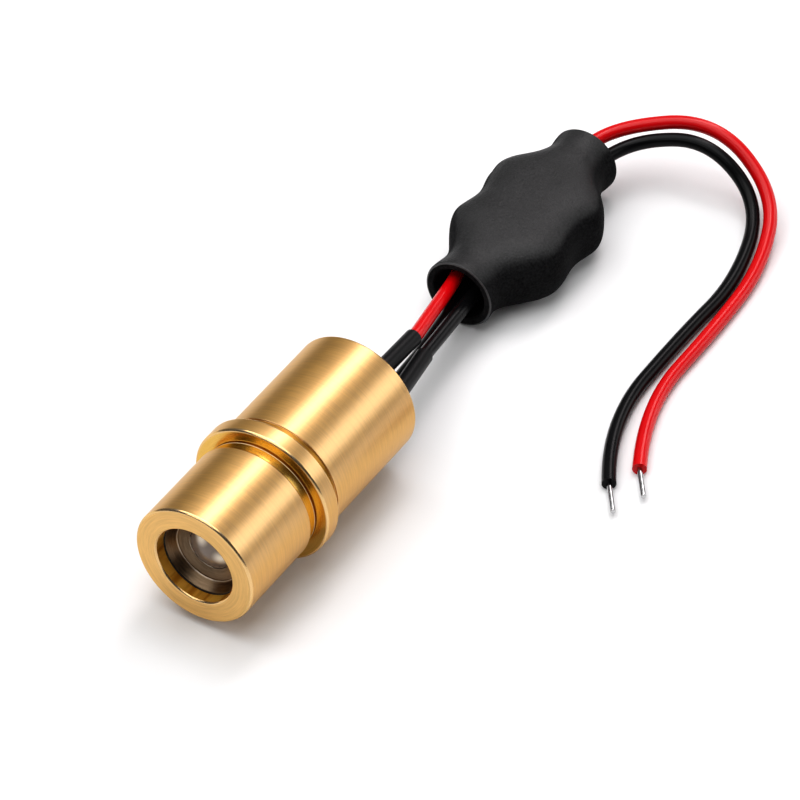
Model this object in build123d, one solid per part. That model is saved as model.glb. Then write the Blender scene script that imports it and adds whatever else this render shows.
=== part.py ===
"""Brass laser diode module with its lens cell, diode, driver board and supply leads.

Millimetres, +Z up. The optical axis is the Y axis, the beam leaves along -Y, and the origin is the
centre of the flange's front face, which is the face that seats on a panel.
"""
import os
from math import copysign, cos, pi, radians, sin, tan

from build123d import *

# Turned brass housing
NOSE_R = 5.8
NOSE_LENGTH = 10.2
GROOVE_R = 5.5
GROOVE_WIDTH = 1.1
RELIEF_DEPTH = 0.12
RELIEF_WIDTH = 0.14
FLANGE_R = 6.7
FLANGE_WIDTH = 1.8
BODY_R = 6.0
BODY_LENGTH = 13.3
UNDERCUT_DEPTH = 0.15
UNDERCUT_WIDTH = 0.9
EDGE_BREAK = 0.15
BORE_R = 3.75
MOUTH_CHAMFER = 0.13
REAR_BORE_R = 4.6

# Seal, lens cell, lens and spring in the nose
SEAL_SETBACK = 1.1
SEAL_WIDTH = 0.12
SEAL_WALL = 0.1
CELL_LENGTH = 4.98
CELL_STEP_R = 3.1
CELL_STEP_DEPTH = 0.95
CELL_LEDGE = 0.15
APERTURE_R = 2.05
APERTURE_DEPTH = 1.28
LIP_THICKNESS = 0.4
LENS_R = 3.0
LENS_EDGE = 1.2
LENS_DOME = 0.75
LENS_CLEARANCE = 0.05
LENS_RING_WIDTH = 0.7
LENS_RING_WALL = 0.6
SPRING_LENGTH = 3.0
SPRING_WIRE_R = 0.25
SPRING_CLEARANCE = 0.3
SPRING_TURNS = 3

# Laser diode package and its clamp ring
CAP_HOLE_CLEARANCE = 0.3
CAP_R = 1.8
CAP_HEIGHT = 2.3
CAP_WALL = 0.25
CAP_APERTURE_R = 0.8
WINDOW_R = 1.2
WINDOW_THICKNESS = 0.25
HEADER_R = 2.8
HEADER_THICKNESS = 1.2
HEADER_SET_FORWARD = 3.0
POST_WIDTH = 1.2
POST_DEPTH = 0.8
POST_HEIGHT = 1.2
POST_OFFSET = 0.75
PIN_R = 0.225
PIN_CIRCLE_R = 1.0
PIN_TAIL = 5.0
PIN_HEAD = 0.6
CLAMP_R = 3.6
CLAMP_BORE_R = 2.0
CLAMP_WIDTH = 1.8
SOLDER_R = 0.5
SOLDER_LAP = 1.5
POTTING_SETBACK = 0.8

# Feed wires, sleeves, supply leads and their bare tips
WIRE_R = 0.65
SLEEVE_WALL = 0.15
SLEEVE_START = 0.35
SLEEVE_END = 0.93
FEED_STRAIGHT = 1.5
FEED_BEND_R = 6.0
TIP_R = 0.21
TIP_LENGTH = 3.3
TIP_GRIP = 1.5
TIP_EDGE_BREAK = 0.08

# Shrunk driver sleeve: round necks that flare a little at both lips, and soft bulges over the board's
# corners with a waist between them
DRIVER_X = -1.3
DRIVER_MOUTH_Y = 33.9
DRIVER_LENGTH = 22.4
DRIVER_WALL = 0.8
DRIVER_NECK_R = 3.1
MOUTH_FLARE = 0.3
END_FLARE = 0.2
FLARE_LENGTH = 2.6
DRIVER_HALF_HEIGHT = 3.5
DRIVER_LEFT = 5.4
DRIVER_RIGHT = 6.3
LEFT_RISE = (2.4, 8.2)
LEFT_FALL = (14.5, 21.1)
RIGHT_RISE = (0.6, 7.2)
RIGHT_FALL = (13.4, 20.9)
LEFT_CORNER = 0.35
LEFT_CORNER_RISE = (13.8, 16.2)
LEFT_CORNER_FALL = (16.2, 18.6)
RIGHT_CORNER = 0.25
RIGHT_CORNER_RISE = (11.5, 15.0)
RIGHT_CORNER_FALL = (15.0, 18.0)
WAIST_AT = 10.8
WAIST_SPAN = 3.2
WAIST_LEFT = 0.6
WAIST_RIGHT = 0.4
ROUND_SECTION = 2.0
SQUARE_SECTION = 3.3
SECTION_POINTS = 16
SECTION_COUNT = 23

# Driver board and the pieces on it
BOARD_LEFT = 4.4
BOARD_RIGHT = 5.2
BOARD_LENGTH = 9.7
BOARD_SETBACK = 6.6
BOARD_THICKNESS = 1.0
BOARD_DROP = 0.4
PAD_LENGTH = 1.4
PAD_WIDTH = 1.2
PAD_HEIGHT = 0.9
PAD_EDGE_BREAK = 0.3
PAD_FROM_EDGE = 1.0
PAD_LIFT = 1.5
LEAD_FROM_EDGE = 0.7
LEAD_STRAIGHT = 2.0
IC_SIZE = 3.0
IC_HEIGHT = 1.1
IC_SHIFT = -0.3
IC_LEAD_LENGTH = 0.9
IC_LEAD_WIDTH = 0.35
IC_LEAD_THICKNESS = 0.2
IC_LEAD_PITCH = 0.65
IC_LEADS_PER_SIDE = 4
RESISTOR_SIZE = (2.0, 1.25, 0.5)
RESISTOR_OFFSET = (3.5, 3.0)
RESISTOR_PITCH = 1.8
RESISTOR_COUNT = 3
CAPACITOR_SIZE = (3.2, 1.6, 1.4)
CAPACITOR_OFFSET = (-1.0, 5.2)
TRIMMER_SIZE = (3.0, 3.0, 1.2)
TRIMMER_OFFSET = (2.4, 4.6)
TRIMMER_SCREW_R = 0.9
TRIMMER_SCREW_HEIGHT = 0.3

# Places along the optical axis, worked out from the sizes above
FRONT_Y = -NOSE_LENGTH
REAR_Y = FLANGE_WIDTH + BODY_LENGTH
CELL_Y = FRONT_Y + SEAL_SETBACK + SEAL_WIDTH
LENS_Y = CELL_Y + APERTURE_DEPTH + LIP_THICKNESS
CELL_END_Y = CELL_Y + CELL_LENGTH
SEAT_Y = CELL_END_Y + SPRING_LENGTH
HEADER_Y = SEAT_Y + HEADER_SET_FORWARD
CLAMP_Y = HEADER_Y + HEADER_THICKNESS
CHAMBER_Y = CLAMP_Y + CLAMP_WIDTH
PIN_END_Y = CLAMP_Y + PIN_TAIL
WIRE_START_Y = PIN_END_Y + SOLDER_LAP
FLOOR_Z = -FLANGE_R
DRIVER_Z = FLOOR_Z + DRIVER_HALF_HEIGHT
BOARD_Y = DRIVER_MOUTH_Y + BOARD_SETBACK
BOARD_END_Y = BOARD_Y + BOARD_LENGTH
BOARD_TOP_Z = DRIVER_Z - BOARD_DROP + BOARD_THICKNESS / 2
BOARD_BOTTOM_Z = BOARD_TOP_Z - BOARD_THICKNESS
PAD_WIRE_Z = BOARD_TOP_Z + WIRE_R
FEED_END_Y = BOARD_Y + PAD_FROM_EDGE
LEAD_START_Y = BOARD_END_Y - LEAD_FROM_EDGE
FEED_PAD_END = PAD_FROM_EDGE + PAD_LENGTH
LEAD_PAD_START = BOARD_LENGTH - LEAD_FROM_EDGE - PAD_LENGTH
IC_OFFSET = (IC_SHIFT, (FEED_PAD_END + LEAD_PAD_START) / 2)
TABLE_WIRE_Z = FLOOR_Z + WIRE_R

# The three pins of the diode, as angles about the optical axis seen from the back
RED_PIN = 90
BLACK_PIN = 0
SENSE_PIN = -90


def pin_place(angle):
    """X and Z of a pin on the diode's pin circle."""
    return PIN_CIRCLE_R * cos(radians(angle)), PIN_CIRCLE_R * sin(radians(angle))


def feed_route(angle, pad_x, *bends):
    """A feed wire's route from its pin, through its bends, to its pad on the driver board."""
    pin_x, pin_z = pin_place(angle)
    leave = [(pin_x, WIRE_START_Y, pin_z), (pin_x, WIRE_START_Y + FEED_STRAIGHT, pin_z)]
    land = [(pad_x, BOARD_Y - PAD_LIFT, PAD_WIRE_Z), (pad_x, FEED_END_Y, PAD_WIRE_Z)]
    return [*leave, *bends, *land]


RED_PAD_X = -3.0
SENSE_PAD_X = -1.3
BLACK_PAD_X = 0.4
RED_FEED = feed_route(
    RED_PIN,
    RED_PAD_X,
    (0.4, REAR_Y + 1.4, 0.45),
    (-0.2, REAR_Y + 10.0, -0.8),
    (-2.0, DRIVER_MOUTH_Y + 0.1, -2.3),
)
BLACK_FEED = feed_route(
    BLACK_PIN,
    BLACK_PAD_X,
    (2.65, REAR_Y + 1.9, -0.75),
    (1.1, REAR_Y + 9.5, -2.0),
    (-0.1, DRIVER_MOUTH_Y + 0.1, -3.2),
)
SENSE_FEED = feed_route(
    SENSE_PIN,
    SENSE_PAD_X,
    (0.9, REAR_Y + 2.4, -2.3),
    (0.0, REAR_Y + 10.1, -3.3),
    (-1.4, DRIVER_MOUTH_Y + 0.1, -4.1),
)

# Supply leads: out of the driver sleeve, over a low arch and back along the table
RED_LEAD_X = -2.6
BLACK_LEAD_X = -0.5
RED_LEAD = [
    (RED_LEAD_X, LEAD_START_Y, PAD_WIRE_Z),
    (RED_LEAD_X, LEAD_START_Y + LEAD_STRAIGHT, PAD_WIRE_Z),
    (-2.1, 55.0, -2.4),
    (-0.3, 60.2, -1.6),
    (7.6, 64.5, -0.3),
    (15.4, 62.2, -4.3),
    (18.3, 54.3, TABLE_WIRE_Z),
    (18.8, 44.8, TABLE_WIRE_Z),
    (18.6, 32.6, TABLE_WIRE_Z),
    (22.3, 25.4, TABLE_WIRE_Z),
]
BLACK_LEAD = [
    (BLACK_LEAD_X, LEAD_START_Y, PAD_WIRE_Z),
    (BLACK_LEAD_X, LEAD_START_Y + LEAD_STRAIGHT, PAD_WIRE_Z),
    (-0.2, 55.0, -2.7),
    (1.9, 60.5, -2.4),
    (8.3, 62.3, -1.0),
    (14.5, 61.1, -5.2),
    (17.3, 51.4, TABLE_WIRE_Z),
    (16.8, 42.7, TABLE_WIRE_Z),
    (16.9, 29.1, TABLE_WIRE_Z),
    (21.0, 22.4, TABLE_WIRE_Z),
]
CORD_ARC_SHARE = 0.45


def turned(*points):
    """A solid of revolution about the optical axis from points of radius and place along Y."""
    return revolve(make_face(Polyline(*points, close=True)), axis=Axis.Y)


def ring(outer, inner, start, width):
    """A plain turned ring."""
    return turned((inner, start), (outer, start), (outer, start + width), (inner, start + width))


def rod(radius, x, z, start, length):
    """A plain round rod along Y."""
    return extrude(Plane(origin=(x, start, z), z_dir=(0, 1, 0)) * Circle(radius), length)


def block(size, x, y, z):
    """A box centred on x and y that stands on z."""
    return Pos(x, y, z) * Box(*size, align=(Align.CENTER, Align.CENTER, Align.MIN))


def cord_radii(points):
    """The largest arc that each corner's shorter run allows."""
    radii = []
    for before, here, after in zip(points, points[1:], points[2:]):
        run_in = Vector(here) - Vector(before)
        run_out = Vector(after) - Vector(here)
        half_turn = radians(run_in.get_angle(run_out)) / 2
        radii.append(CORD_ARC_SHARE * min(run_in.length, run_out.length) / tan(half_turn))
    return radii


def along(points, radii, radius, bore=0.0):
    """A round wire or tube along straight runs joined by tangent arcs."""
    path = FilletPolyline(*points, radius=radii)
    section = Plane(origin=path @ 0, z_dir=path % 0) * Circle(radius)
    if bore:
        section -= Plane(origin=path @ 0, z_dir=path % 0) * Circle(bore)
    return sweep(section, path=path), path.length


def between(start, end, share):
    """The point at a share of the way from start to end."""
    return tuple(a + (b - a) * share for a, b in zip(start, end))


def make_housing():
    """The brass body, turned inside and out from one bar."""
    undercut_r = BODY_R - UNDERCUT_DEPTH
    undercut_end = FLANGE_WIDTH + UNDERCUT_WIDTH
    nose_end = -GROOVE_WIDTH
    outside = [
        (BORE_R + MOUTH_CHAMFER, FRONT_Y),
        (NOSE_R - EDGE_BREAK, FRONT_Y),
        (NOSE_R, FRONT_Y + EDGE_BREAK),
        (NOSE_R, nose_end - EDGE_BREAK),
        (NOSE_R - EDGE_BREAK, nose_end),
        (GROOVE_R, nose_end),
        (GROOVE_R, -RELIEF_WIDTH),
        (GROOVE_R - RELIEF_DEPTH, -RELIEF_WIDTH),
        (GROOVE_R - RELIEF_DEPTH, 0),
        (FLANGE_R - EDGE_BREAK, 0),
        (FLANGE_R, EDGE_BREAK),
        (FLANGE_R, FLANGE_WIDTH - EDGE_BREAK),
        (FLANGE_R - EDGE_BREAK, FLANGE_WIDTH),
        (undercut_r, FLANGE_WIDTH),
        (undercut_r, undercut_end),
        (BODY_R, undercut_end),
        (BODY_R, REAR_Y - EDGE_BREAK),
        (BODY_R - EDGE_BREAK, REAR_Y),
    ]
    cap_hole_r = CAP_R + CAP_HOLE_CLEARANCE
    inside = [
        (REAR_BORE_R + EDGE_BREAK, REAR_Y),
        (REAR_BORE_R, REAR_Y - EDGE_BREAK),
        (REAR_BORE_R, CHAMBER_Y),
        (CLAMP_R, CHAMBER_Y),
        (CLAMP_R, CLAMP_Y),
        (HEADER_R, CLAMP_Y),
        (HEADER_R, HEADER_Y),
        (cap_hole_r, HEADER_Y),
        (cap_hole_r, SEAT_Y),
        (BORE_R, SEAT_Y),
        (BORE_R, FRONT_Y + MOUTH_CHAMFER),
    ]
    return turned(*outside, *inside)


def make_lens_seal():
    """Black rubber ring that closes the gap in front of the cell's thread."""
    return ring(BORE_R, BORE_R - SEAL_WALL, CELL_Y - SEAL_WIDTH, SEAL_WIDTH)


def make_lens_cell():
    """Dark cell with a stepped, tapering front, a lens pocket behind its lip and an open back."""
    step_y = CELL_Y + CELL_STEP_DEPTH
    return turned(
        (BORE_R, CELL_Y),
        (BORE_R - SEAL_WALL, CELL_Y),
        (CELL_STEP_R, step_y),
        (CELL_STEP_R - CELL_LEDGE, step_y),
        (APERTURE_R, CELL_Y + APERTURE_DEPTH),
        (APERTURE_R, LENS_Y),
        (LENS_R, LENS_Y),
        (LENS_R, CELL_END_Y),
        (BORE_R, CELL_END_Y),
    )


def make_lens():
    """Collimating lens: a flat-backed disc with a boss that fills the cell's lip and a dome on it."""
    dome_r = APERTURE_R - LENS_CLEARANCE
    edge_y = LENS_Y + LENS_EDGE
    boss_y = LENS_Y - LIP_THICKNESS
    apex = (0, boss_y - LENS_DOME)
    foot = (dome_r, boss_y)
    outline = Polyline(apex, (0, edge_y), (LENS_R, edge_y), (LENS_R, LENS_Y), (dome_r, LENS_Y), foot)
    sphere_r = (dome_r**2 + LENS_DOME**2) / (2 * LENS_DOME)
    dome = RadiusArc(foot, apex, sphere_r)
    return revolve(make_face(outline + dome), axis=Axis.Y)


def make_lens_ring():
    """Ring pressed in behind the lens."""
    return ring(LENS_R, LENS_R - LENS_RING_WALL, LENS_Y + LENS_EDGE, LENS_RING_WIDTH)


def make_lens_spring():
    """Coil spring with ends ground flat, between the cell and the diode's seat."""
    coil_r = BORE_R - SPRING_CLEARANCE - SPRING_WIRE_R
    pitch = SPRING_LENGTH / SPRING_TURNS
    helix = Helix(pitch=pitch, height=SPRING_LENGTH, radius=coil_r)
    section = Plane(origin=helix @ 0, z_dir=helix % 0) * Circle(SPRING_WIRE_R)
    coil = sweep(section, path=helix, is_frenet=True)
    span = Cylinder(BORE_R, SPRING_LENGTH, align=(Align.CENTER, Align.CENTER, Align.MIN))
    upright = coil & span
    return Pos(0, CELL_END_Y, 0) * Rot(-90, 0, 0) * upright


def make_diode_header():
    """Steel header disc with the post that carries the chip, bored for the three pins."""
    header = turned((0, HEADER_Y), (HEADER_R, HEADER_Y), (HEADER_R, CLAMP_Y), (0, CLAMP_Y))
    post = Pos(-POST_OFFSET, HEADER_Y, 0) * Box(
        POST_DEPTH, POST_HEIGHT, POST_WIDTH, align=(Align.CENTER, Align.MAX, Align.CENTER)
    )
    return header + post - make_diode_pins()


def make_diode_cap():
    """Drawn steel cap with a round light hole in its front."""
    cap_front = HEADER_Y - CAP_HEIGHT
    inner_r = CAP_R - CAP_WALL
    return turned(
        (CAP_APERTURE_R, cap_front),
        (CAP_R, cap_front),
        (CAP_R, HEADER_Y),
        (inner_r, HEADER_Y),
        (inner_r, cap_front + CAP_WALL),
        (CAP_APERTURE_R, cap_front + CAP_WALL),
    )


def make_diode_window():
    """Glass window sealed behind the cap's light hole."""
    window_y = HEADER_Y - CAP_HEIGHT + CAP_WALL
    return rod(WINDOW_R, 0, 0, window_y, WINDOW_THICKNESS)


def make_diode_pins():
    """The three pins, through the header and back into the solder joints."""
    length = PIN_HEAD + HEADER_THICKNESS + PIN_TAIL
    places = [pin_place(angle) for angle in (RED_PIN, BLACK_PIN, SENSE_PIN)]
    return Compound([rod(PIN_R, x, z, HEADER_Y - PIN_HEAD, length) for x, z in places])


def make_pin_solder():
    """Solder joints that lap each pin's end and meet the cut end of its wire."""
    places = [pin_place(angle) for angle in (RED_PIN, BLACK_PIN, SENSE_PIN)]
    joints = []
    for x, z in places:
        lap = rod(SOLDER_R, x, z, PIN_END_Y - SOLDER_LAP, 2 * SOLDER_LAP)
        pin = rod(PIN_R, x, z, PIN_END_Y - SOLDER_LAP, SOLDER_LAP)
        joints.append(lap - pin)
    return Compound(joints)


def make_diode_clamp():
    """Brass ring screwed in behind the header."""
    return ring(CLAMP_R, CLAMP_BORE_R, CLAMP_Y, CLAMP_WIDTH)


def make_feed_wire(route):
    """One feed wire from its solder joint to its pad."""
    wire, _ = along(route, FEED_BEND_R, WIRE_R)
    return wire


def make_feed_sleeve(route):
    """Shrunk sleeve over the first stretch of a feed wire."""
    start = between(route[1], route[2], SLEEVE_START)
    end = between(route[2], route[3], SLEEVE_END)
    sleeve, _ = along([start, route[2], end], FEED_BEND_R, WIRE_R + SLEEVE_WALL, WIRE_R)
    return sleeve


def make_potting(pieces):
    """Potting in the back of the housing, cast round the pins, joints, wires and sleeves."""
    back = REAR_Y - POTTING_SETBACK
    fill = turned(
        (0, CLAMP_Y),
        (CLAMP_BORE_R, CLAMP_Y),
        (CLAMP_BORE_R, CHAMBER_Y),
        (REAR_BORE_R, CHAMBER_Y),
        (REAR_BORE_R, back),
        (0, back),
    )
    for piece in pieces:
        fill -= piece
    return fill


def ease(place, start, end):
    """A soft step from 0 at start to 1 at end."""
    share = min(max((place - start) / (end - start), 0), 1)
    return (1 - cos(pi * share)) / 2


def driver_bulge(place, rise, fall):
    """How far the sleeve has swollen from its neck towards the board, from 0 to 1."""
    return ease(place, *rise) * (1 - ease(place, *fall))


def driver_section(place, inset):
    """One closed section of the driver sleeve, between a circle and a soft rectangle."""
    mouth_flare = MOUTH_FLARE * (1 - ease(place, 0, FLARE_LENGTH))
    end_flare = END_FLARE * ease(place, DRIVER_LENGTH - FLARE_LENGTH, DRIVER_LENGTH)
    neck = DRIVER_NECK_R + mouth_flare + end_flare
    on_left = driver_bulge(place, LEFT_RISE, LEFT_FALL)
    on_right = driver_bulge(place, RIGHT_RISE, RIGHT_FALL)
    swell = (on_left + on_right) / 2
    waist = driver_bulge(place, (WAIST_AT - WAIST_SPAN, WAIST_AT), (WAIST_AT, WAIST_AT + WAIST_SPAN))
    left_corner = LEFT_CORNER * driver_bulge(place, LEFT_CORNER_RISE, LEFT_CORNER_FALL)
    right_corner = RIGHT_CORNER * driver_bulge(place, RIGHT_CORNER_RISE, RIGHT_CORNER_FALL)
    left = neck + (DRIVER_LEFT - neck) * on_left + left_corner - WAIST_LEFT * waist - inset
    right = neck + (DRIVER_RIGHT - neck) * on_right + right_corner - WAIST_RIGHT * waist - inset
    half_height = neck + (DRIVER_HALF_HEIGHT - neck) * swell - inset
    power = 2 / (ROUND_SECTION + (SQUARE_SECTION - ROUND_SECTION) * swell)
    points = []
    for step in range(SECTION_POINTS):
        angle = 2 * pi * step / SECTION_POINTS
        across, up = cos(angle), sin(angle)
        x = copysign(abs(across) ** power, across) * (right if across > 0 else left)
        z = copysign(abs(up) ** power, up) * half_height
        points.append((DRIVER_X + x, DRIVER_MOUTH_Y + place, DRIVER_Z + z))
    return make_face(Spline(*points, periodic=True))


def driver_loft(inset):
    """The driver sleeve's outside, or its inside when inset by the wall."""
    spacing = DRIVER_LENGTH / (SECTION_COUNT - 1)
    return loft([driver_section(index * spacing, inset) for index in range(SECTION_COUNT)])


def make_driver_sleeve(board):
    """Shrunk tube that grips the board's edges and closes in to a round neck at both ends."""
    return driver_loft(0) - driver_loft(DRIVER_WALL) - board


def make_driver_board():
    """The driver's circuit board."""
    width = BOARD_LEFT + BOARD_RIGHT
    centre_x = DRIVER_X + (BOARD_RIGHT - BOARD_LEFT) / 2
    centre_y = BOARD_Y + BOARD_LENGTH / 2
    return block((width, BOARD_LENGTH, BOARD_THICKNESS), centre_x, centre_y, BOARD_BOTTOM_Z)


def on_board(size, offset):
    """A block on the board's top face, placed from the sleeve's axis and the board's front edge."""
    return block(size, DRIVER_X + offset[0], BOARD_Y + offset[1], BOARD_TOP_Z)


def under_board(size, offset):
    """A block under the board, placed from the sleeve's axis and the board's front edge."""
    return block(size, DRIVER_X + offset[0], BOARD_Y + offset[1], BOARD_BOTTOM_Z - size[2])


def make_pad_solder():
    """Solder mounds that meet the wires' cut ends on the board."""
    feeds = [(x, FEED_END_Y + PAD_LENGTH / 2) for x in (RED_PAD_X, SENSE_PAD_X, BLACK_PAD_X)]
    leads = [(x, LEAD_START_Y - PAD_LENGTH / 2) for x in (RED_LEAD_X, BLACK_LEAD_X)]
    mounds = []
    for x, y in feeds + leads:
        mound = block((PAD_WIDTH, PAD_LENGTH, PAD_HEIGHT), x, y, BOARD_TOP_Z)
        long_edges = mound.edges().filter_by(Axis.Y).group_by(Axis.Z)[-1]
        mounds.append(chamfer(long_edges, PAD_EDGE_BREAK))
    return Compound(mounds)


def make_driver_ic():
    """Moulded driver chip."""
    return on_board((IC_SIZE, IC_SIZE, IC_HEIGHT), IC_OFFSET)


def make_ic_leads():
    """The chip's tinned leads, four on each side."""
    size = (IC_LEAD_LENGTH, IC_LEAD_WIDTH, IC_LEAD_THICKNESS)
    reach = (IC_SIZE + IC_LEAD_LENGTH) / 2
    first = -IC_LEAD_PITCH * (IC_LEADS_PER_SIDE - 1) / 2
    leads = []
    for side in (-1, 1):
        for index in range(IC_LEADS_PER_SIDE):
            place = (IC_OFFSET[0] + side * reach, IC_OFFSET[1] + first + index * IC_LEAD_PITCH)
            leads.append(on_board(size, place))
    return Compound(leads)


def make_chip_resistors():
    """A row of chip resistors."""
    x, first_y = RESISTOR_OFFSET
    rows = [first_y + index * RESISTOR_PITCH for index in range(RESISTOR_COUNT)]
    return Compound([on_board(RESISTOR_SIZE, (x, y)) for y in rows])


def make_driver_trimmer():
    """Trimmer that sets the diode's current, with its screw underneath."""
    body = under_board(TRIMMER_SIZE, TRIMMER_OFFSET)
    screw_z = BOARD_BOTTOM_Z - TRIMMER_SIZE[2]
    screw = Pos(DRIVER_X + TRIMMER_OFFSET[0], BOARD_Y + TRIMMER_OFFSET[1], screw_z) * Cylinder(
        TRIMMER_SCREW_R, TRIMMER_SCREW_HEIGHT, align=(Align.CENTER, Align.CENTER, Align.MAX)
    )
    return body + screw


def lead_end(route):
    """The plane at a lead's cut end, facing out along its last run."""
    return Plane(origin=route[-1], z_dir=Vector(route[-1]) - Vector(route[-2]))


def make_tip(route):
    """Bare tinned conductor, gripped in the lead's end and rounded off at its own."""
    grip = Pos(0, 0, -TIP_GRIP)
    bare = grip * Cylinder(TIP_R, TIP_GRIP + TIP_LENGTH, align=(Align.CENTER, Align.CENTER, Align.MIN))
    bare = chamfer(bare.edges().group_by(Axis.Z)[-1], TIP_EDGE_BREAK)
    return lead_end(route) * bare


def make_lead(name, route, tip):
    """One supply lead, as a round cord with its conductor's seat in the cut end."""
    radii = cord_radii(route)
    cord, length = along(route, radii, WIRE_R)
    section = pi * WIRE_R**2
    print(name, "radii", [round(radius, 1) for radius in radii])
    print(name, "volume over section times length", round(cord.volume / (section * length), 4))
    return cord - tip


def main():
    board = make_driver_board()
    pins = make_diode_pins()
    solder = make_pin_solder()
    feeds = {"red": RED_FEED, "black": BLACK_FEED, "sense": SENSE_FEED}
    wires = {f"{name}_wire": make_feed_wire(route) for name, route in feeds.items()}
    sleeves = {f"{name}_sleeve": make_feed_sleeve(feeds[name]) for name in ("red", "black")}
    leads = {"red": RED_LEAD, "black": BLACK_LEAD}
    tips = {f"{name}_tip": make_tip(route) for name, route in leads.items()}
    cords = {f"{name}_lead": make_lead(name, route, tips[f"{name}_tip"]) for name, route in leads.items()}
    nodes = {
        "housing": make_housing(),
        "lens_seal": make_lens_seal(),
        "lens_cell": make_lens_cell(),
        "lens": make_lens(),
        "lens_ring": make_lens_ring(),
        "lens_spring": make_lens_spring(),
        "diode_header": make_diode_header(),
        "diode_cap": make_diode_cap(),
        "diode_window": make_diode_window(),
        "diode_pins": pins,
        "diode_clamp": make_diode_clamp(),
        "pin_solder": solder,
        "rear_potting": make_potting([pins, solder, *wires.values(), *sleeves.values()]),
        **wires,
        **sleeves,
        "driver_sleeve": make_driver_sleeve(board),
        "driver_board": board,
        "driver_ic": make_driver_ic(),
        "ic_leads": make_ic_leads(),
        "driver_capacitor": under_board(CAPACITOR_SIZE, CAPACITOR_OFFSET),
        "driver_trimmer": make_driver_trimmer(),
        "chip_resistors": make_chip_resistors(),
        "pad_solder": make_pad_solder(),
        **cords,
        **tips,
    }
    os.makedirs("parts", exist_ok=True)
    for name, solid in nodes.items():
        export_step(solid, f"parts/{name}.step")


main()
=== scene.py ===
from math import copysign, cos, pi, radians, sin

import bmesh
import bpy
from mathutils import Matrix, Vector


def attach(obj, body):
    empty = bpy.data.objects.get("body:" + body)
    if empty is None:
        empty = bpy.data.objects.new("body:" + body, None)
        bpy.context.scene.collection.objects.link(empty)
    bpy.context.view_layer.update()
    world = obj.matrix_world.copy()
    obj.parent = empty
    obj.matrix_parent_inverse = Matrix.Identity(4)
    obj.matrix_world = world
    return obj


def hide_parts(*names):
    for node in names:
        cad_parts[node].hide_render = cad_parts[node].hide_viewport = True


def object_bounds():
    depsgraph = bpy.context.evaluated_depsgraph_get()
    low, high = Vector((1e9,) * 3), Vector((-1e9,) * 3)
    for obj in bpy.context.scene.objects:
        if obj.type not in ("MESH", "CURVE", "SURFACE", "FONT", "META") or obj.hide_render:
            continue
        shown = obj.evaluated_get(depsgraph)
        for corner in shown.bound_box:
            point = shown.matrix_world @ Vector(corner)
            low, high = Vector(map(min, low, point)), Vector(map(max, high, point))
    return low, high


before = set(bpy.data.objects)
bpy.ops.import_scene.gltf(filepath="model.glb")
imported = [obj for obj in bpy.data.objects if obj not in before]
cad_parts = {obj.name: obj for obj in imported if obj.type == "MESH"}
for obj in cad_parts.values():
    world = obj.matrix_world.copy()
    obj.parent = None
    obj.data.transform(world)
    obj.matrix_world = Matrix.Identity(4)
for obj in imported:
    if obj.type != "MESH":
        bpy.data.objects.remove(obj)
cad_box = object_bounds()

# Housing
# One brass bar, turned inside and out: a nose, a relief groove, a flange and a rear body.
# Every outer edge is broken with a small bright bevel, and a thin lacquer covers the tool's fine rings.
MM = 0.001
NOSE_R = 5.8
NOSE_LENGTH = 10.2
GROOVE_R = 5.5
GROOVE_WIDTH = 1.1
RELIEF_DEPTH = 0.12
RELIEF_WIDTH = 0.14
FLANGE_R = 6.7
FLANGE_WIDTH = 1.8
BODY_R = 6.0
BODY_LENGTH = 13.3
UNDERCUT_DEPTH = 0.15
UNDERCUT_WIDTH = 0.9
EDGE_BREAK = 0.15
BEVEL_ROUND = 0.09
CORNER_ROUND = 0.04
SEAM_LINE = 0.08
EDGE_STEPS = 6
BORE_R = 3.75
MOUTH_CHAMFER = 0.13
REAR_BORE_R = 4.6
HEADER_R = 2.8
HEADER_Y = 2.0
HEADER_THICKNESS = 1.2
HEADER_SET_FORWARD = 3.0
CLAMP_R = 3.6
CLAMP_WIDTH = 1.8
CAP_HOLE_R = 2.1
CLAMP_Y = HEADER_Y + HEADER_THICKNESS
CHAMBER_Y = CLAMP_Y + CLAMP_WIDTH
SEAT_Y = HEADER_Y - HEADER_SET_FORWARD
FRONT_Y = -NOSE_LENGTH
REAR_Y = FLANGE_WIDTH + BODY_LENGTH
LATHE_SEGMENTS = 256
MERGE_WITHIN = 1e-7
SHARP_FROM = radians(35)
SCRATCHES_PER_RADIAN = 2.0
FINE_RELIEF = 2.5e-7
FACED_RELIEF = 4.5e-7
SLANT_FADE = (0.28, 0.5)
WALL_SLOPE = 0.15
FLAT_SLOPE = 0.98


def rounded(corners):
    """The outline through corners of radius, place and rounding, with the rounded ones eased."""
    points = []
    for index, (radius, place, rounding) in enumerate(corners):
        here = Vector((radius, place))
        before = Vector(corners[index - 1][:2])
        after = Vector(corners[(index + 1) % len(corners)][:2])
        start = here + (before - here).normalized() * rounding
        end = here + (after - here).normalized() * rounding
        steps = EDGE_STEPS if rounding else 0
        for step in range(steps + 1):
            share = step / steps if steps else 0
            points.append(start.lerp(here, share).lerp(here.lerp(end, share), share))
    return points


def mesh_piece(name, verts, faces):
    """A smooth mesh piece with clean normals."""
    mesh = bpy.data.meshes.new(name)
    mesh.from_pydata(verts, [], faces)
    tidy = bmesh.new()
    tidy.from_mesh(mesh)
    bmesh.ops.remove_doubles(tidy, verts=tidy.verts, dist=MERGE_WITHIN)
    bmesh.ops.recalc_face_normals(tidy, faces=tidy.faces)
    tidy.to_mesh(mesh)
    tidy.free()
    mesh.shade_smooth()
    piece = bpy.data.objects.new(name, mesh)
    bpy.context.scene.collection.objects.link(piece)
    return piece


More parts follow.
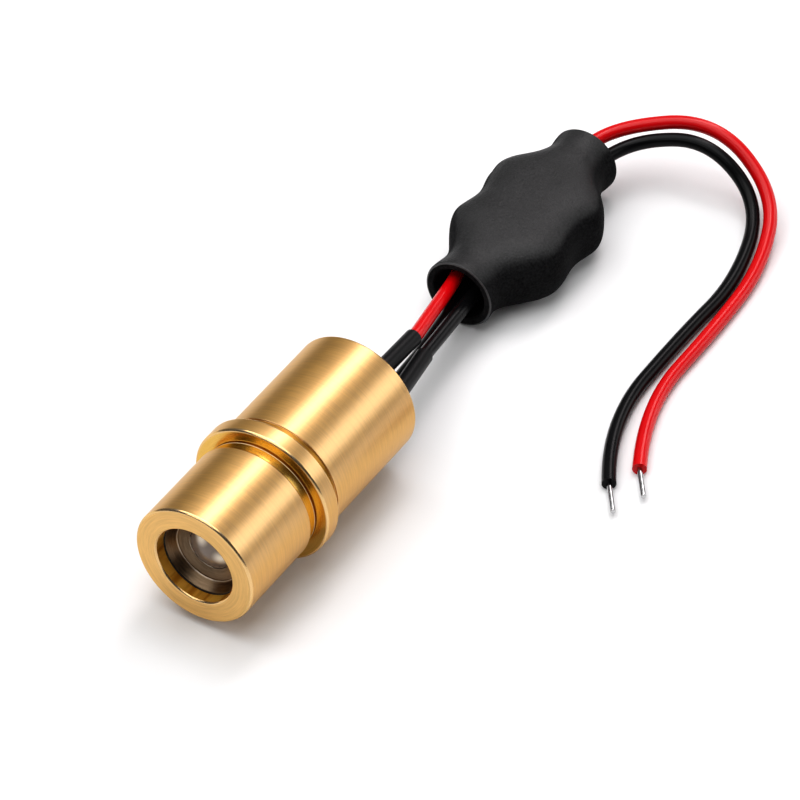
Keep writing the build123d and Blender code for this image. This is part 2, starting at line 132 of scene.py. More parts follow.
def rings(outlines, closed):
    """Faces between rows of points, each row a closed ring, and the rows closed too if asked."""
    count = len(outlines[0])
    verts = [point for row in outlines for point in row]
    faces = []
    for row in range(len(outlines) if closed else len(outlines) - 1):
        here = row * count
        beyond = (row + 1) % len(outlines) * count
        for step in range(count):
            ahead = (step + 1) % count
            faces.append((here + step, here + ahead, beyond + ahead, beyond + step))
    return verts, faces


def turned(name, corners):
    """A turned piece: its own Z axis is the lathe's, and lies along the row's Y axis."""
    outline = rounded(corners)
    turns = [2 * pi * step / LATHE_SEGMENTS for step in range(LATHE_SEGMENTS)]
    rows = [[(p.x * MM * cos(a), p.x * MM * sin(a), p.y * MM) for a in turns] for p in outline]
    piece = mesh_piece(name, *rings(rows, closed=True))
    piece.data.set_sharp_from_angle(angle=SHARP_FROM)
    piece.modifiers.new("even_flats", "WEIGHTED_NORMAL").keep_sharp = True
    piece.rotation_euler = (-pi / 2, 0, 0)
    return piece


class Shade:
    """An output of a material's node. Arithmetic on it adds Math nodes."""

    def __init__(self, tree, socket=None):
        self.tree = tree
        self.socket = socket

    def node(self, kind, settings, inputs, output=0):
        """Any node, by type, with its settings first and then its sockets' values or links."""
        made = self.tree.nodes.new("ShaderNode" + kind)
        for name, value in settings.items():
            setattr(made, name, value)
        for name, value in inputs.items():
            if isinstance(value, Shade):
                self.tree.links.new(value.socket, made.inputs[name])
            else:
                made.inputs[name].default_value = value
        return Shade(self.tree, made.outputs[output] if made.outputs else None)

    def maths(self, operation, first, second):
        return self.node("Math", {"operation": operation}, {0: first, 1: second})

    def __add__(self, other):
        return self.maths("ADD", self, other)

    def __radd__(self, other):
        return self.maths("ADD", other, self)

    def __sub__(self, other):
        return self.maths("SUBTRACT", self, other)

    def __rsub__(self, other):
        return self.maths("SUBTRACT", other, self)

    def __mul__(self, other):
        return self.maths("MULTIPLY", self, other)

    def __rmul__(self, other):
        return self.maths("MULTIPLY", other, self)

    def __truediv__(self, other):
        return self.maths("DIVIDE", self, other)

    def __rtruediv__(self, other):
        return self.maths("DIVIDE", other, self)

    def __pow__(self, other):
        return self.maths("POWER", self, other)

    def __rpow__(self, other):
        return self.maths("POWER", other, self)

    def __abs__(self):
        return self.node("Math", {"operation": "ABSOLUTE"}, {0: self})

    def between(self, low, high):
        """This value from 0 to 1, spread over the range from low to high."""
        sockets = {"Value": self, "From Min": low, "From Max": high}
        return self.node("MapRange", {"interpolation_type": "SMOOTHSTEP"}, sockets)

    def mix(self, first, second):
        """The first colour where this value is 0 and the second where it is 1."""
        sockets = {0: self, 6: first, 7: second}
        return self.node("Mix", {"data_type": "RGBA"}, sockets, 2)

    def bump(self, strength, depth):
        """A Normal for a surface that this height raises by a depth in metres."""
        return self.node("Bump", {}, {"Strength": strength, "Distance": depth, "Height": self})


def finish(name, build):
    """A node material whose shader is what build returns."""
    made = bpy.data.materials.new(name)
    made.use_nodes = True
    made.node_tree.nodes.clear()
    start = Shade(made.node_tree)
    start.node("OutputMaterial", {}, {"Surface": build(start)})
    return made


def own_axes(start):
    """A piece's own x, y and z, in metres."""
    place = start.node("TexCoord", {}, {}, "Object")
    return [start.node("SeparateXYZ", {}, {0: place}, axis) for axis in "XYZ"]


def distance(x, y):
    """How far a point is from the middle."""
    return (x * x + y * y) ** 0.5


def tool_marks(start, rings_per_mm):
    """Fine rings about a turned piece's own Z axis, broken into arcs, from 0 to 1."""
    x, y, z = own_axes(start)
    radius = distance(x, y)
    pitch = rings_per_mm / MM
    arc = SCRATCHES_PER_RADIAN / radius
    spot = start.node("CombineXYZ", {}, {"X": x * arc, "Y": y * arc, "Z": radius * pitch})
    sockets = {"Vector": spot, "W": z * pitch, "Scale": 1.0, "Detail": 3.0, "Roughness": 0.65}
    return start.node("TexNoise", {"noise_dimensions": "4D"}, sockets, "Fac")


def turned_brass(light, dark, rough, lacquer=0.0, relief=FINE_RELIEF):
    """A maker of finishes for turned brass, bare or under a thin lacquer whose gloss fades at a slant."""

    def build(start):
        marks = tool_marks(start, rings_per_mm=7.0)
        tone = marks.between(0.25, 0.75)
        coat = lacquer
        if lacquer:
            turned_away = start.node("LayerWeight", {}, {"Blend": 0.5}, "Facing").between(*SLANT_FADE)
            coat = lacquer - 0.5 * lacquer * turned_away
        sockets = {
            "Base Color": tone.mix(dark, light),
            "Metallic": 1.0,
            "Specular Tint": (1.0, 0.86, 0.62, 1),
            "Roughness": rough + 0.06 * tone,
            "Anisotropic": 0.3,
            "Anisotropic Rotation": 0.25,
            "Coat Weight": coat,
            "Coat Roughness": 0.32,
            "Coat IOR": 2.0,
            "Normal": marks.bump(strength=0.4, depth=relief),
        }
        return start.node("BsdfPrincipled", {}, sockets)

    return build


def bored_brass(start):
    """Rough bored brass with faint streaks along the bore."""
    x, y, _ = own_axes(start)
    around = start.node("CombineXYZ", {}, {"X": x, "Y": y})
    streaks = start.node("TexNoise", {}, {"Vector": around, "Scale": 0.9 / MM, "Detail": 3.0}, "Fac")
    tone = streaks.between(0.38, 0.6)
    sockets = {
        "Base Color": tone.mix((0.5, 0.2, 0.012, 1), (1.0, 0.55, 0.09, 1)),
        "Metallic": 0.65,
        "Roughness": 0.55 - 0.2 * tone,
    }
    return start.node("BsdfPrincipled", {}, sockets)


housing = turned(
    "turned_housing",
    [
        (BORE_R + MOUTH_CHAMFER, FRONT_Y, BEVEL_ROUND),
        (NOSE_R - EDGE_BREAK, FRONT_Y, BEVEL_ROUND),
        (NOSE_R, FRONT_Y + EDGE_BREAK, BEVEL_ROUND),
        (NOSE_R, -GROOVE_WIDTH - EDGE_BREAK, BEVEL_ROUND),
        (NOSE_R - EDGE_BREAK, -GROOVE_WIDTH, BEVEL_ROUND),
        (GROOVE_R, -GROOVE_WIDTH, CORNER_ROUND),
        (GROOVE_R, -RELIEF_WIDTH - SEAM_LINE, 0),
        (GROOVE_R, -RELIEF_WIDTH, 0),
        (GROOVE_R - RELIEF_DEPTH, -RELIEF_WIDTH, 0),
        (GROOVE_R - RELIEF_DEPTH, 0, 0),
        (FLANGE_R - EDGE_BREAK, 0, BEVEL_ROUND),
        (FLANGE_R, EDGE_BREAK, BEVEL_ROUND),
        (FLANGE_R, FLANGE_WIDTH - EDGE_BREAK, BEVEL_ROUND),
        (FLANGE_R - EDGE_BREAK, FLANGE_WIDTH, BEVEL_ROUND),
        (BODY_R - UNDERCUT_DEPTH, FLANGE_WIDTH, CORNER_ROUND),
        (BODY_R - UNDERCUT_DEPTH, FLANGE_WIDTH + UNDERCUT_WIDTH, CORNER_ROUND),
        (BODY_R, FLANGE_WIDTH + UNDERCUT_WIDTH, CORNER_ROUND),
        (BODY_R, REAR_Y - EDGE_BREAK, BEVEL_ROUND),
        (BODY_R - EDGE_BREAK, REAR_Y, BEVEL_ROUND),
        (REAR_BORE_R + EDGE_BREAK, REAR_Y, BEVEL_ROUND),
        (REAR_BORE_R, REAR_Y - EDGE_BREAK, BEVEL_ROUND),
        (REAR_BORE_R, CHAMBER_Y, 0),
        (CLAMP_R, CHAMBER_Y, 0),
        (CLAMP_R, CLAMP_Y, 0),
        (HEADER_R, CLAMP_Y, 0),
        (HEADER_R, HEADER_Y, 0),
        (CAP_HOLE_R, HEADER_Y, 0),
        (CAP_HOLE_R, SEAT_Y, 0),
        (BORE_R, SEAT_Y, 0),
        (BORE_R, FRONT_Y + MOUTH_CHAMFER, CORNER_ROUND),
    ],
)
finishes = {
    "satin_turned_brass": turned_brass(
        (0.69, 0.387, 0.092, 1), (0.562, 0.306, 0.069, 1), rough=0.36, lacquer=1.0
    ),
    "bright_bevels": turned_brass((0.76, 0.47, 0.16, 1), (0.7, 0.43, 0.14, 1), rough=0.16, lacquer=1.0),
    "bored_brass": bored_brass,
    "groove_brass": turned_brass((0.82, 0.53, 0.15, 1), (0.7, 0.43, 0.11, 1), rough=0.2),
    # Dark brown for the relief and the undercut behind the flange: partly tarnish, partly painted shade in
    # these recesses.
    "tarnish_and_painted_shade": turned_brass((0.4, 0.2, 0.035, 1), (0.28, 0.13, 0.02, 1), rough=0.35),
    # A near-white strip on the groove's corner: a painted highlight line along the seam.
    "painted_seam_highlight": turned_brass((1.0, 0.88, 0.66, 1), (0.95, 0.8, 0.55, 1), rough=0.75),
    "faced_brass": turned_brass(
        (0.79, 0.47, 0.138, 1), (0.6, 0.345, 0.09, 1), rough=0.29, lacquer=0.75, relief=FACED_RELIEF
    ),
}


def housing_finish(face):
    """The name of one face's finish, from where it lies and how it slopes."""
    slope = abs(face.normal.z)
    radius = face.center.xy.length / MM
    place = face.center.z / MM
    if WALL_SLOPE < slope < FLAT_SLOPE:
        return "bright_bevels"
    if slope < WALL_SLOPE and face.normal.xy.dot(face.center.xy) < 0:
        return "bored_brass"
    # Relief and undercut faces are darkened: tarnish and painted shade.
    if -RELIEF_WIDTH <= place <= 0 and radius < GROOVE_R:
        return "tarnish_and_painted_shade"
    # The narrow strip at the groove's corner takes the painted highlight.
    if -RELIEF_WIDTH - SEAM_LINE <= place <= -RELIEF_WIDTH and slope < WALL_SLOPE:
        return "painted_seam_highlight"
    if -GROOVE_WIDTH <= place <= 0 and radius < FLANGE_R - EDGE_BREAK:
        return "groove_brass"
    if FLANGE_WIDTH < place <= FLANGE_WIDTH + UNDERCUT_WIDTH and radius < BODY_R:
        return "tarnish_and_painted_shade"
    return "faced_brass" if slope > FLAT_SLOPE else "satin_turned_brass"


for name, build in finishes.items():
    housing.data.materials.append(finish(name, build))
finish_order = list(finishes)
for face in housing.data.polygons:
    face.material_index = finish_order.index(housing_finish(face))
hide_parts("housing")
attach(housing, "root")


# Lens seal
# A black rubber ring in the bore, which closes the gap in front of the cell's thread.
# It is pushed in by hand and holds by its own stretch.
def dress(material, *nodes):
    """Gives CAD nodes a finish."""
    for name in nodes:
        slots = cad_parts[name].data.materials
        slots.clear()
        slots.append(material)


def speckle(start, per_mm, detail=2.0):
    """Even three-way noise over a piece, from 0 to 1."""
    place = start.node("TexCoord", {}, {}, "Object")
    sockets = {"Vector": place, "Scale": per_mm / MM, "Detail": detail, "Roughness": 0.6}
    return start.node("TexNoise", {}, sockets, "Fac")


def seal_rubber(start):
    """Matt black rubber."""
    grain = speckle(start, per_mm=6.0)
    sockets = {
        "Base Color": grain.mix((0.008, 0.008, 0.008, 1), (0.02, 0.02, 0.02, 1)),
        "Roughness": 0.5 + 0.2 * grain,
    }
    return start.node("BsdfPrincipled", {}, sockets)


dress(finish("seal_rubber", seal_rubber), "lens_seal")

# Lens cell and its ring
# A dark anodised aluminium cell, turned with a stepped, tapering front and screwed into the bore.
# A ring pressed in behind the lens holds it against the cell's lip.
SEAL_SETBACK = 1.1
SEAL_WIDTH = 0.12
SEAL_WALL = 0.1
CELL_LENGTH = 4.98
CELL_STEP_R = 3.1
CELL_STEP_DEPTH = 0.95
CELL_LEDGE = 0.15
APERTURE_R = 2.05
APERTURE_DEPTH = 1.28
LIP_THICKNESS = 0.4
LENS_R = 3.0
CELL_Y = FRONT_Y + SEAL_SETBACK + SEAL_WIDTH
CELL_STEP_Y = CELL_Y + CELL_STEP_DEPTH
APERTURE_Y = CELL_Y + APERTURE_DEPTH
LENS_Y = APERTURE_Y + LIP_THICKNESS
CELL_LIP_ROUND = 0.05
RIDGE_ROUND = 0.04
APERTURE_ROUND = 0.08
RIDGE_HIGHLIGHT_WIDTH = 0.07


def dark_anodised(start):
    """Dark bronze anodised aluminium, with the lathe's rings and a painted highlight along two ridges."""
    marks = tool_marks(start, rings_per_mm=5.0)
    tone = marks.between(0.3, 0.7)
    x, y, _ = own_axes(start)
    radius = distance(x, y)
    from_step = abs(radius - CELL_STEP_R * MM)
    from_aperture = abs(radius - APERTURE_R * MM)
    # A pale line painted along the two ridges stands in for their highlights.
    painted_ridge_highlight = start.maths("MINIMUM", from_step, from_aperture).between(RIDGE_HIGHLIGHT_WIDTH * MM, 0.0)
    bronze = tone.mix((0.115, 0.08, 0.05, 1), (0.19, 0.135, 0.085, 1))
    sockets = {
        "Base Color": painted_ridge_highlight.mix(bronze, (0.55, 0.47, 0.38, 1)),
        "Metallic": 1.0,
        "Roughness": 0.3 + 0.1 * tone,
        "Normal": marks.bump(strength=0.4, depth=4e-6),
    }
    return start.node("BsdfPrincipled", {}, sockets)


lens_cell = turned(
    "turned_lens_cell",
    [
        (BORE_R, CELL_Y, 0),
        (BORE_R - SEAL_WALL, CELL_Y, CELL_LIP_ROUND),
        (CELL_STEP_R, CELL_STEP_Y, RIDGE_ROUND),
        (CELL_STEP_R - CELL_LEDGE, CELL_STEP_Y, RIDGE_ROUND),
        (APERTURE_R, APERTURE_Y, APERTURE_ROUND),
        (APERTURE_R, LENS_Y, 0),
        (LENS_R, LENS_Y, 0),
        (LENS_R, CELL_Y + CELL_LENGTH, 0),
        (BORE_R, CELL_Y + CELL_LENGTH, 0),
    ],
)
cell_finish = finish("dark_anodised_aluminium", dark_anodised)
lens_cell.data.materials.append(cell_finish)
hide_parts("lens_cell")
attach(lens_cell, "root")
dress(cell_finish, "lens_ring")

# Lens and window
# The collimating lens is a moulded glass disc with a coated dome that stands through the cell's lip.
# The diode's window is a thin glass disc sealed behind its cap.
LENS_EDGE = 1.2
LENS_DOME = 0.75
LENS_CLEARANCE = 0.05
LENS_REAR_ROUND = 0.1
LENS_SHOULDER_ROUND = 0.05
DOME_STEPS = 24
# Places, in mm in the lens's own x and y, of its two painted highlights.
LENS_HIGHLIGHTS = ((-0.6, -1.35), (1.4, 0.05))
HIGHLIGHT_R = 0.95


def coated_glass(start):
    """Warm smoked glass, with two soft painted highlights that glow, standing in for the light it gathers."""
    haze = speckle(start, per_mm=0.8)
    x, y, _ = own_axes(start)
    from_highlights = [distance(x - across * MM, y - up * MM) for across, up in LENS_HIGHLIGHTS]
    # Two soft spots painted pale and made to glow: painted highlights on the dome.
    first, second = (away.between(HIGHLIGHT_R * MM, 0.0) for away in from_highlights)
    painted_glow = first + second
    smoke = haze.mix((0.2, 0.15, 0.115, 1), (0.25, 0.195, 0.155, 1))
    sockets = {
        "Base Color": painted_glow.mix(smoke, (0.85, 0.78, 0.66, 1)),
        "Emission Color": painted_glow.mix((0, 0, 0, 1), (0.15, 0.125, 0.095, 1)),
        "Emission Strength": 1.0,
        "Roughness": 0.16 + 0.08 * haze,
        "IOR": 1.6,
    }
    return start.node("BsdfPrincipled", {}, sockets)


dome_r = APERTURE_R - LENS_CLEARANCE
sphere_r = (dome_r**2 + LENS_DOME**2) / (2 * LENS_DOME)
dome = []
for step in range(DOME_STEPS + 1):
    radius = dome_r * (1 - step / DOME_STEPS)
    height = (sphere_r**2 - radius**2) ** 0.5 - (sphere_r - LENS_DOME)
    dome.append((radius, APERTURE_Y - height, 0))
edge_y = LENS_Y + LENS_EDGE
lens = turned(
    "glass_lens",
    [
        *dome,
        (0, edge_y, 0),
        (LENS_R, edge_y, LENS_REAR_ROUND),
        (LENS_R, LENS_Y, LENS_SHOULDER_ROUND),
        (dome_r, LENS_Y, 0),
    ],
)
glass_finish = finish("coated_glass", coated_glass)
lens.data.materials.append(glass_finish)
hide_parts("lens")
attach(lens, "root")
dress(glass_finish, "diode_window")


# Spring, diode package, clamp ring, solder and potting
# The steel spring keeps the cell from turning, the brass ring clamps the plated diode on its seat,
# and black potting closes the back round the soldered wires.
def bright_metal(light, dark, rough):
    """A maker of finishes for small bright metal pieces."""

    def build(start):
        cloud = speckle(start, per_mm=2.5)
        sockets = {
            "Base Color": cloud.mix(dark, light),
            "Metallic": 1.0,
            "Roughness": rough + 0.12 * cloud,
        }
        return start.node("BsdfPrincipled", {}, sockets)

    return build


def potting_resin(start):
    """Poured black resin with a soft shine."""
    cloud = speckle(start, per_mm=0.9)
    sockets = {
        "Base Color": cloud.mix((0.012, 0.012, 0.012, 1), (0.03, 0.03, 0.03, 1)),
        "Roughness": 0.28 + 0.2 * cloud,
        "Normal": cloud.bump(strength=0.4, depth=4e-5),
    }
    return start.node("BsdfPrincipled", {}, sockets)


steel = bright_metal((0.66, 0.65, 0.62, 1), (0.5, 0.49, 0.47, 1), rough=0.22)
plating = bright_metal((0.78, 0.72, 0.56, 1), (0.62, 0.56, 0.42, 1), rough=0.25)
gilding = bright_metal((0.86, 0.66, 0.32, 1), (0.7, 0.5, 0.22, 1), rough=0.2)
tin = bright_metal((0.8, 0.8, 0.8, 1), (0.62, 0.62, 0.63, 1), rough=0.18)
clamp_brass = bright_metal((0.78, 0.49, 0.21, 1), (0.62, 0.37, 0.15, 1), rough=0.28)
dress(finish("drawn_steel", steel), "lens_spring")
dress(finish("plated_steel", plating), "diode_header", "diode_cap")
dress(finish("gilt_pins", gilding), "diode_pins")
dress(finish("clamp_brass", clamp_brass), "diode_clamp")
dress(finish("bright_tin", tin), "pin_solder", "pad_solder", "ic_leads")
dress(finish("potting_resin", potting_resin), "rear_potting")


# Feed wires and their sleeves
# Three short stranded wires in smooth insulation run from the diode's pins to the driver board.
# Black tube is shrunk over the first stretch of two of them.
TOP_SLOPE = 0.9
SIDE_SLOPE = 0.55


def insulation(light, dark, rough, gloss):
    """A maker of finishes for smooth extruded insulation."""

    def build(start):
        cloud = speckle(start, per_mm=0.35)
        grain = speckle(start, per_mm=9.0)
        sockets = {
            "Base Color": cloud.mix(dark, light),
            "Roughness": rough + 0.08 * cloud,
            "Specular IOR Level": gloss,
            "Normal": grain.bump(strength=0.25, depth=8e-6),
        }
        return start.node("BsdfPrincipled", {}, sockets)

    return build


red_skin = insulation((0.62, 0.002, 0.005, 1), (0.54, 0.0015, 0.004, 1), rough=0.2, gloss=0.28)
black_skin = insulation((0.004, 0.004, 0.0045, 1), (0.003, 0.003, 0.0035, 1), rough=0.24, gloss=0.14)
red_pvc = finish("red_insulation", red_skin)
black_pvc = finish("black_insulation", black_skin)
dress(red_pvc, "red_wire")
dress(black_pvc, "black_wire", "sense_wire")


def shrunk_tube(start):
    """Black shrunk tube with the grain that heating leaves, rubbed satin on top and matt at its sides."""
    cloud = speckle(start, per_mm=0.3)
    grain = speckle(start, per_mm=5.0, detail=3.0)
    tone = (0.3 * cloud + 0.7 * grain).between(0.3, 0.7)
    black = tone.mix((0.005, 0.005, 0.0054, 1), (0.019, 0.019, 0.0197, 1))
    relief = grain.bump(strength=0.6, depth=1e-4)
    satin_sockets = {
        "Base Color": black,
        "Roughness": 0.42 + 0.08 * cloud + 0.05 * grain,
        "Specular IOR Level": 0.37,
        "Normal": relief,
    }
    matt_sockets = {
        "Base Color": black,
        "Roughness": 0.7 + 0.1 * grain,
        "Specular IOR Level": 0.03,
        "Normal": relief,
    }
    outward = start.node("NewGeometry", {}, {}, "Normal")
    layers = {
        0: start.node("SeparateXYZ", {}, {0: outward}, "Z").between(TOP_SLOPE, SIDE_SLOPE),
        1: start.node("BsdfPrincipled", {}, satin_sockets),
        2: start.node("BsdfPrincipled", {}, matt_sockets),
    }
    return start.node("MixShader", {}, layers)


tube_finish = finish("shrunk_tube", shrunk_tube)
thin_tube = insulation((0.006, 0.006, 0.0065, 1), (0.004, 0.004, 0.0045, 1), rough=0.36, gloss=0.16)
dress(finish("thin_shrunk_tube", thin_tube), "red_sleeve", "black_sleeve")


# Driver board and the pieces on it
# A small circuit board with a moulded chip, resistors, a capacitor and a trimmer, soldered by hand.
# The sleeve hides it, and only its wires come out.
def moulded(light, dark, rough):
    """A maker of finishes for moulded and glazed board pieces."""

    def build(start):
        cloud = speckle(start, per_mm=3.0)
        sockets = {"Base Color": cloud.mix(dark, light), "Roughness": rough + 0.1 * cloud}
        return start.node("BsdfPrincipled", {}, sockets)

    return build


board_finishes = {
    "driver_board": ("green_resist", moulded((0.03, 0.16, 0.06, 1), (0.02, 0.11, 0.04, 1), rough=0.35)),
    "driver_ic": ("chip_mould", moulded((0.03, 0.03, 0.03, 1), (0.02, 0.02, 0.02, 1), rough=0.5)),
    "driver_capacitor": ("ochre_mould", moulded((0.62, 0.4, 0.08, 1), (0.5, 0.3, 0.05, 1), rough=0.35)),
    "driver_trimmer": ("blue_mould", moulded((0.06, 0.14, 0.4, 1), (0.04, 0.1, 0.3, 1), rough=0.4)),
    "chip_resistors": (
        "resistor_glaze", moulded((0.03, 0.03, 0.03, 1), (0.015, 0.015, 0.015, 1), rough=0.25)
    ),
}
for node, (name, build) in board_finishes.items():
    dress(finish(name, build), node)

# Driver sleeve
# Thick black tube shrunk over the driver board: round necks at both ends, soft bulges over the
# board's corners and a waist between them. It holds by its own grip.
DRIVER_X = -1.3
DRIVER_MOUTH_Y = 33.9
DRIVER_LENGTH = 22.4
DRIVER_Z = -3.2
DRIVER_WALL = 0.8
DRIVER_NECK_R = 3.1
MOUTH_FLARE = 0.3
END_FLARE = 0.2
FLARE_LENGTH = 2.6
DRIVER_HALF_HEIGHT = 3.5
DRIVER_LEFT = 5.4
DRIVER_RIGHT = 6.3
LEFT_RISE = (2.4, 8.2)
LEFT_FALL = (14.5, 21.1)
RIGHT_RISE = (0.6, 7.2)
RIGHT_FALL = (13.4, 20.9)
LEFT_CORNER = 0.35
LEFT_CORNER_RISE = (13.8, 16.2)
LEFT_CORNER_FALL = (16.2, 18.6)
RIGHT_CORNER = 0.25
RIGHT_CORNER_RISE = (11.5, 15.0)
RIGHT_CORNER_FALL = (15.0, 18.0)
WAIST_AT = 10.8
WAIST_SPAN = 3.2
WAIST_LEFT = 0.6
WAIST_RIGHT = 0.4
ROUND_SECTION = 2.0
SQUARE_SECTION = 3.3
RIM_ROUND = 0.2
RIM_STEPS = 6
RIM_HIGHLIGHT_FINISH = 1
SLEEVE_STATIONS = 110
SLEEVE_POINTS = 128


def ease(place, start, end):
    """A soft step from 0 at start to 1 at end."""
    share = min(max((place - start) / (end - start), 0), 1)
    return (1 - cos(pi * share)) / 2


def bulge(place, rise, fall):
    """How far the sleeve has swollen from its neck towards the board, from 0 to 1."""
    return ease(place, *rise) * (1 - ease(place, *fall))


def sleeve_ring(place, inset):
    """One closed ring of the sleeve, between a circle and a soft rectangle."""
    mouth_flare = MOUTH_FLARE * (1 - ease(place, 0, FLARE_LENGTH))
    end_flare = END_FLARE * ease(place, DRIVER_LENGTH - FLARE_LENGTH, DRIVER_LENGTH)
    neck = DRIVER_NECK_R + mouth_flare + end_flare
    on_left = bulge(place, LEFT_RISE, LEFT_FALL)
    on_right = bulge(place, RIGHT_RISE, RIGHT_FALL)
    swell = (on_left + on_right) / 2
    waist = bulge(place, (WAIST_AT - WAIST_SPAN, WAIST_AT), (WAIST_AT, WAIST_AT + WAIST_SPAN))
    left_corner = LEFT_CORNER * bulge(place, LEFT_CORNER_RISE, LEFT_CORNER_FALL)
    right_corner = RIGHT_CORNER * bulge(place, RIGHT_CORNER_RISE, RIGHT_CORNER_FALL)
    left = neck + (DRIVER_LEFT - neck) * on_left + left_corner - WAIST_LEFT * waist - inset
    right = neck + (DRIVER_RIGHT - neck) * on_right + right_corner - WAIST_RIGHT * waist - inset
    half_height = neck + (DRIVER_HALF_HEIGHT - neck) * swell - inset
    power = 2 / (ROUND_SECTION + (SQUARE_SECTION - ROUND_SECTION) * swell)
    ring = []
    for step in range(SLEEVE_POINTS):
        angle = 2 * pi * (step + 0.5) / SLEEVE_POINTS
        across, up = cos(angle), sin(angle)
        x = DRIVER_X + copysign(abs(across) ** power, across) * (right if across > 0 else left)
        z = DRIVER_Z + copysign(abs(up) ** power, up) * half_height
        ring.append((x * MM, (DRIVER_MOUTH_Y + place) * MM, z * MM))
    return ring


def rim(at, inward):
    """Rings round one cut end of the sleeve, from its outside to its inside."""
    made = []
    for step in range(RIM_STEPS + 1):
        angle = pi / 2 * step / RIM_STEPS
        made.append((at + inward * RIM_ROUND * (1 - sin(angle)), RIM_ROUND * (1 - cos(angle))))
    far_side = [(place, DRIVER_WALL - inset) for place, inset in reversed(made)]
    return made + far_side


def painted_rim_highlight(start):
    """A painted highlight: a grey line round the tube's outer edge at its mouth."""
    grain = speckle(start, per_mm=5.0)
    sockets = {
        "Base Color": grain.mix((0.02, 0.02, 0.021, 1), (0.075, 0.075, 0.077, 1)),
        "Roughness": 0.45 + 0.1 * grain,
    }
    return start.node("BsdfPrincipled", {}, sockets)


def is_outer_rim(face):
    """Whether a face lies on the outer half of the sleeve's wall."""
    middle_r = DRIVER_NECK_R + MOUTH_FLARE - DRIVER_WALL / 2
    return Vector((face.center.x - DRIVER_X * MM, face.center.z - DRIVER_Z * MM)).length > middle_r * MM


along = DRIVER_LENGTH - 2 * RIM_ROUND
stations = [RIM_ROUND + along * step / SLEEVE_STATIONS for step in range(1, SLEEVE_STATIONS)]
skin = [(place, 0) for place in stations]
lining = [(place, DRIVER_WALL) for place in reversed(stations)]
mouth = [*reversed(rim(0, 1))]
rows = [*mouth, *skin, *rim(DRIVER_LENGTH, -1), *lining]
driver_sleeve = mesh_piece("shrunk_driver_sleeve", *rings([sleeve_ring(*row) for row in rows], closed=True))
driver_sleeve.data.materials.append(tube_finish)
driver_sleeve.data.materials.append(finish("painted_rim_highlight", painted_rim_highlight))
# The outer rim faces at the mouth take the painted highlight.
for face in driver_sleeve.data.polygons:
    if face.center.y < (DRIVER_MOUTH_Y + RIM_ROUND / 2) * MM and is_outer_rim(face):
        face.material_index = RIM_HIGHLIGHT_FINISH
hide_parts("driver_sleeve")
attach(driver_sleeve, "root")

# Supply leads and their bare tips
# Two limp stranded leads in smooth insulation, soldered to the board inside the sleeve.
# They rise out of its far end, loop over and lie back along the table, with their tips stripped and tinned.
WIRE_R = 0.65
LEAD_SMOOTHNESS = 24
LEAD_ROUNDNESS = 10
RED_ROUTE = [
    (-2.6, 49.5, -2.45),
    (-2.6, 51.5, -2.45),
    (-2.1, 55.0, -2.4),
    (-0.3, 60.2, -1.6),
    (7.6, 64.5, -0.3),
    (15.4, 62.2, -4.3),
    (18.3, 54.3, -6.05),
    (18.8, 44.8, -6.05),
    (18.6, 32.6, -6.05),
    (22.3, 25.4, -6.05),
]
BLACK_ROUTE = [
    (-0.5, 49.5, -2.45),
    (-0.5, 51.5, -2.45),
    (-0.2, 55.0, -2.7),
    (1.9, 60.5, -2.4),
    (8.3, 62.3, -1.0),
    (14.5, 61.1, -5.2),
    (17.3, 51.4, -6.05),
    (16.8, 42.7, -6.05),
    (16.9, 29.1, -6.05),
    (21.0, 22.4, -6.05),
]
TIP_R = 0.24
TIP_GRIP = 0.5
TIP_LENGTH = 3.5
TIP_ROUND = 0.08
TIP_DIRECTION = Vector((0.585, -0.811, 0))
tip_finish = finish("tinned_tips", bright_metal((0.6, 0.6, 0.6, 1), (0.4, 0.4, 0.41, 1), rough=0.08))


def bare_tip(name, end, node):
    """The stripped and tinned end of a lead, a straight rod out of the cut insulation."""
    rear = [(0, -TIP_GRIP, 0), (TIP_R, -TIP_GRIP, 0)]
    front = [(TIP_R, TIP_LENGTH, TIP_ROUND), (0, TIP_LENGTH, 0)]
    tip = turned(name, rear + front)
    tip.location = Vector(end) * MM
    tip.rotation_euler = TIP_DIRECTION.to_track_quat("Z", "Y").to_euler()
    tip.data.materials.append(tip_finish)
    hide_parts(node)
    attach(tip, "root")
    return tip


def supply_lead(name, route, material, lead_node):
    """A free lead along its route."""
    line = bpy.data.curves.new(name, "CURVE")
    line.dimensions = "3D"
    line.resolution_u = LEAD_SMOOTHNESS
    line.bevel_depth = WIRE_R * MM
    line.bevel_resolution = LEAD_ROUNDNESS
    line.use_fill_caps = True
    spline = line.splines.new("NURBS")
    spline.points.add(len(route) - 1)
    for point, place in zip(spline.points, route):
        point.co = (*(c * MM for c in place), 1)
    spline.order_u = 3
    spline.use_endpoint_u = True
    line.materials.append(material)
    lead = bpy.data.objects.new(name, line)
    bpy.context.scene.collection.objects.link(lead)
    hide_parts(lead_node)
    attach(lead, "root")


red_tip = bare_tip("red_bare_tip", RED_ROUTE[-1], "red_tip")
supply_lead("red_supply_lead", RED_ROUTE, red_pvc, "red_lead")
black_tip = bare_tip("black_bare_tip", BLACK_ROUTE[-1], "black_tip")
supply_lead("black_supply_lead", BLACK_ROUTE, black_pvc, "black_lead")

# Floor
# A plain matt white table that the module lies on.
# Its top is level with the lowest point of the module.
FLOOR_HALF = 1.5
floor_z = cad_box[0].z
corners = [(x * FLOOR_HALF, y * FLOOR_HALF, floor_z) for x, y in ((-1, -1), (1, -1), (1, 1), (-1, 1))]
floor_mesh = bpy.data.meshes.new("floor")
floor_mesh.from_pydata(corners, [], [(0, 1, 2, 3)])
floor = bpy.data.objects.new("floor", floor_mesh)
bpy.context.scene.collection.objects.link(floor)


def white_table(start):
    """Matt white."""
    return start.node("BsdfDiffuse", {}, {"Color": (0.8, 0.8, 0.805, 1)})


floor_mesh.materials.append(finish("white_table", white_table))

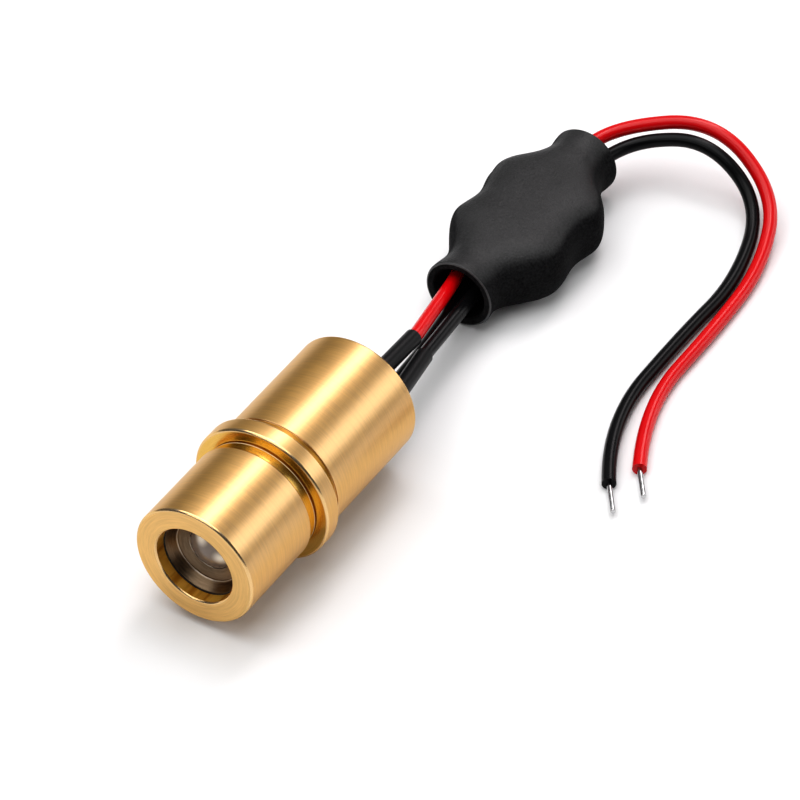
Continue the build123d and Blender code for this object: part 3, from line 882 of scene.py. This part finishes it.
# Light
# Soft boxes round a small table in a room that is dim on the camera's side.
# A narrow box behind draws the long highlight on the barrel, and a wide one above lights the table.
ROOM_BACK = 0.2
ROOM_FRONT = 0.06
ROOM_FADE = (-0.5, 0.35)
ROSE_WHITE = (1.0, 0.94, 0.95)
room = bpy.data.worlds.new("room")
room.use_nodes = True
sky = Shade(room.node_tree)
towards = sky.node("TexCoord", {}, {}, "Generated")
depth = sky.node("SeparateXYZ", {}, {0: towards}, "Y").between(*ROOM_FADE)
strength = ROOM_FRONT + (ROOM_BACK - ROOM_FRONT) * depth
room.node_tree.links.new(strength.socket, room.node_tree.nodes["Background"].inputs["Strength"])
room.node_tree.nodes["Background"].inputs["Color"].default_value = (1, 1, 1, 1)
bpy.context.scene.world = room


def soft_box(name, towards, away, width, length, radiance, colour=(1, 1, 1)):
    """A rectangular soft box in a direction from the module, and so many metres away from it."""
    lamp = bpy.data.lights.new(name, "AREA")
    lamp.shape = "RECTANGLE"
    lamp.size = width
    lamp.size_y = length
    lamp.energy = radiance * pi * width * length
    lamp.color = colour
    box = bpy.data.objects.new(name, lamp)
    back = Vector(towards).normalized()
    across = Vector((0, 1, 0)).cross(back).normalized()
    up = back.cross(across)
    facing = Matrix((across, up, back)).transposed().to_4x4()
    box.matrix_world = Matrix.Translation(back * away) @ facing
    bpy.context.scene.collection.objects.link(box)


soft_box("back_box", (-0.105, 0.62, 0.775), away=0.7, width=0.18, length=0.6, radiance=4.5, colour=ROSE_WHITE)
soft_box("right_box", (0.665, 0.62, 0.415), away=0.7, width=0.29, length=0.8, radiance=1.9)
soft_box("top_box", (-0.22, -0.04, 0.97), away=0.8, width=1.1, length=0.84, radiance=2.35)
soft_box("front_box", (-0.22, -0.72, 0.64), away=0.8, width=0.55, length=0.2, radiance=2.2)

# Camera
# A long lens from the front right, a little over forty degrees above the table.
# Its place is in millimetres in the row's frame.
CAMERA_PLACE = (172.426, -253.503, 288.155)
CAMERA_FORWARD = Vector((-0.39324, 0.62842, -0.67115))
FOCAL_LENGTH = 225
CLIP_START = 0.01
lens_data = bpy.data.cameras.new("camera")
lens_data.lens = FOCAL_LENGTH
lens_data.clip_start = CLIP_START
camera = bpy.data.objects.new("camera", lens_data)
camera.location = Vector(CAMERA_PLACE) * MM
camera.rotation_euler = CAMERA_FORWARD.to_track_quat("-Z", "Y").to_euler()
bpy.context.scene.collection.objects.link(camera)
bpy.context.scene.camera = camera
bpy.context.scene.view_settings.view_transform = "Standard"
bpy.context.scene.view_settings.look = "Medium High Contrast"
